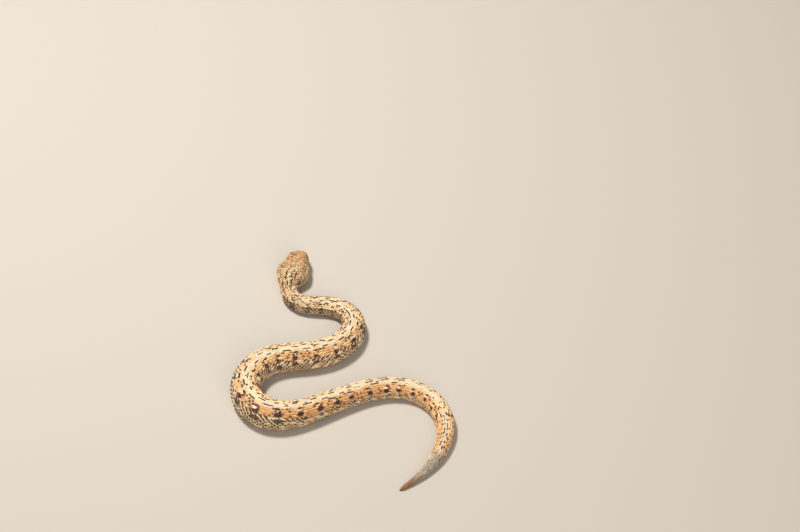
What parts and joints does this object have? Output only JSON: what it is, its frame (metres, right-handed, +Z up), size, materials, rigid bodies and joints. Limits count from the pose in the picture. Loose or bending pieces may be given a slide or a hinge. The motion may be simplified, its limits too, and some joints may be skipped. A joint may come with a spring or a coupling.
{
  "type": "desert adder snake",
  "caption": "Small still desert adder with a broad flat head and eyes on top, lying in open S bends on its belly.",
  "frame": {"origin": "on the ground under the middle of the animal's box, at belly level", "axes": "+Z up from the ground, +Y towards the snout end along the animal's longest extent, +X to the right seen from the tail end"},
  "size_m": [0.088, 0.1183, 0.0106],
  "materials": {
    "scales": "dry keeled scales, sandy cream with grey-brown dashes and blotches",
    "tail_scales": "dry keeled scales, cream turning to grey at the tip",
    "eye": "clear wet spectacle over a speckled silver-tan iris with an upright slit pupil"
  },
  "bodies": {
    "root": {"head": "scales", "lower_jaw": "scales", "eye_left": "eye", "eye_right": "eye", "neck": "scales", "trunk_1": "scales", "trunk_2": "scales", "trunk_3": "scales", "trunk_4": "scales", "trunk_5": "scales", "trunk_6": "scales", "trunk_7": "scales", "trunk_8": "scales", "trunk_9": "scales", "tail": "tail_scales"}
  },
  "joints": []
}
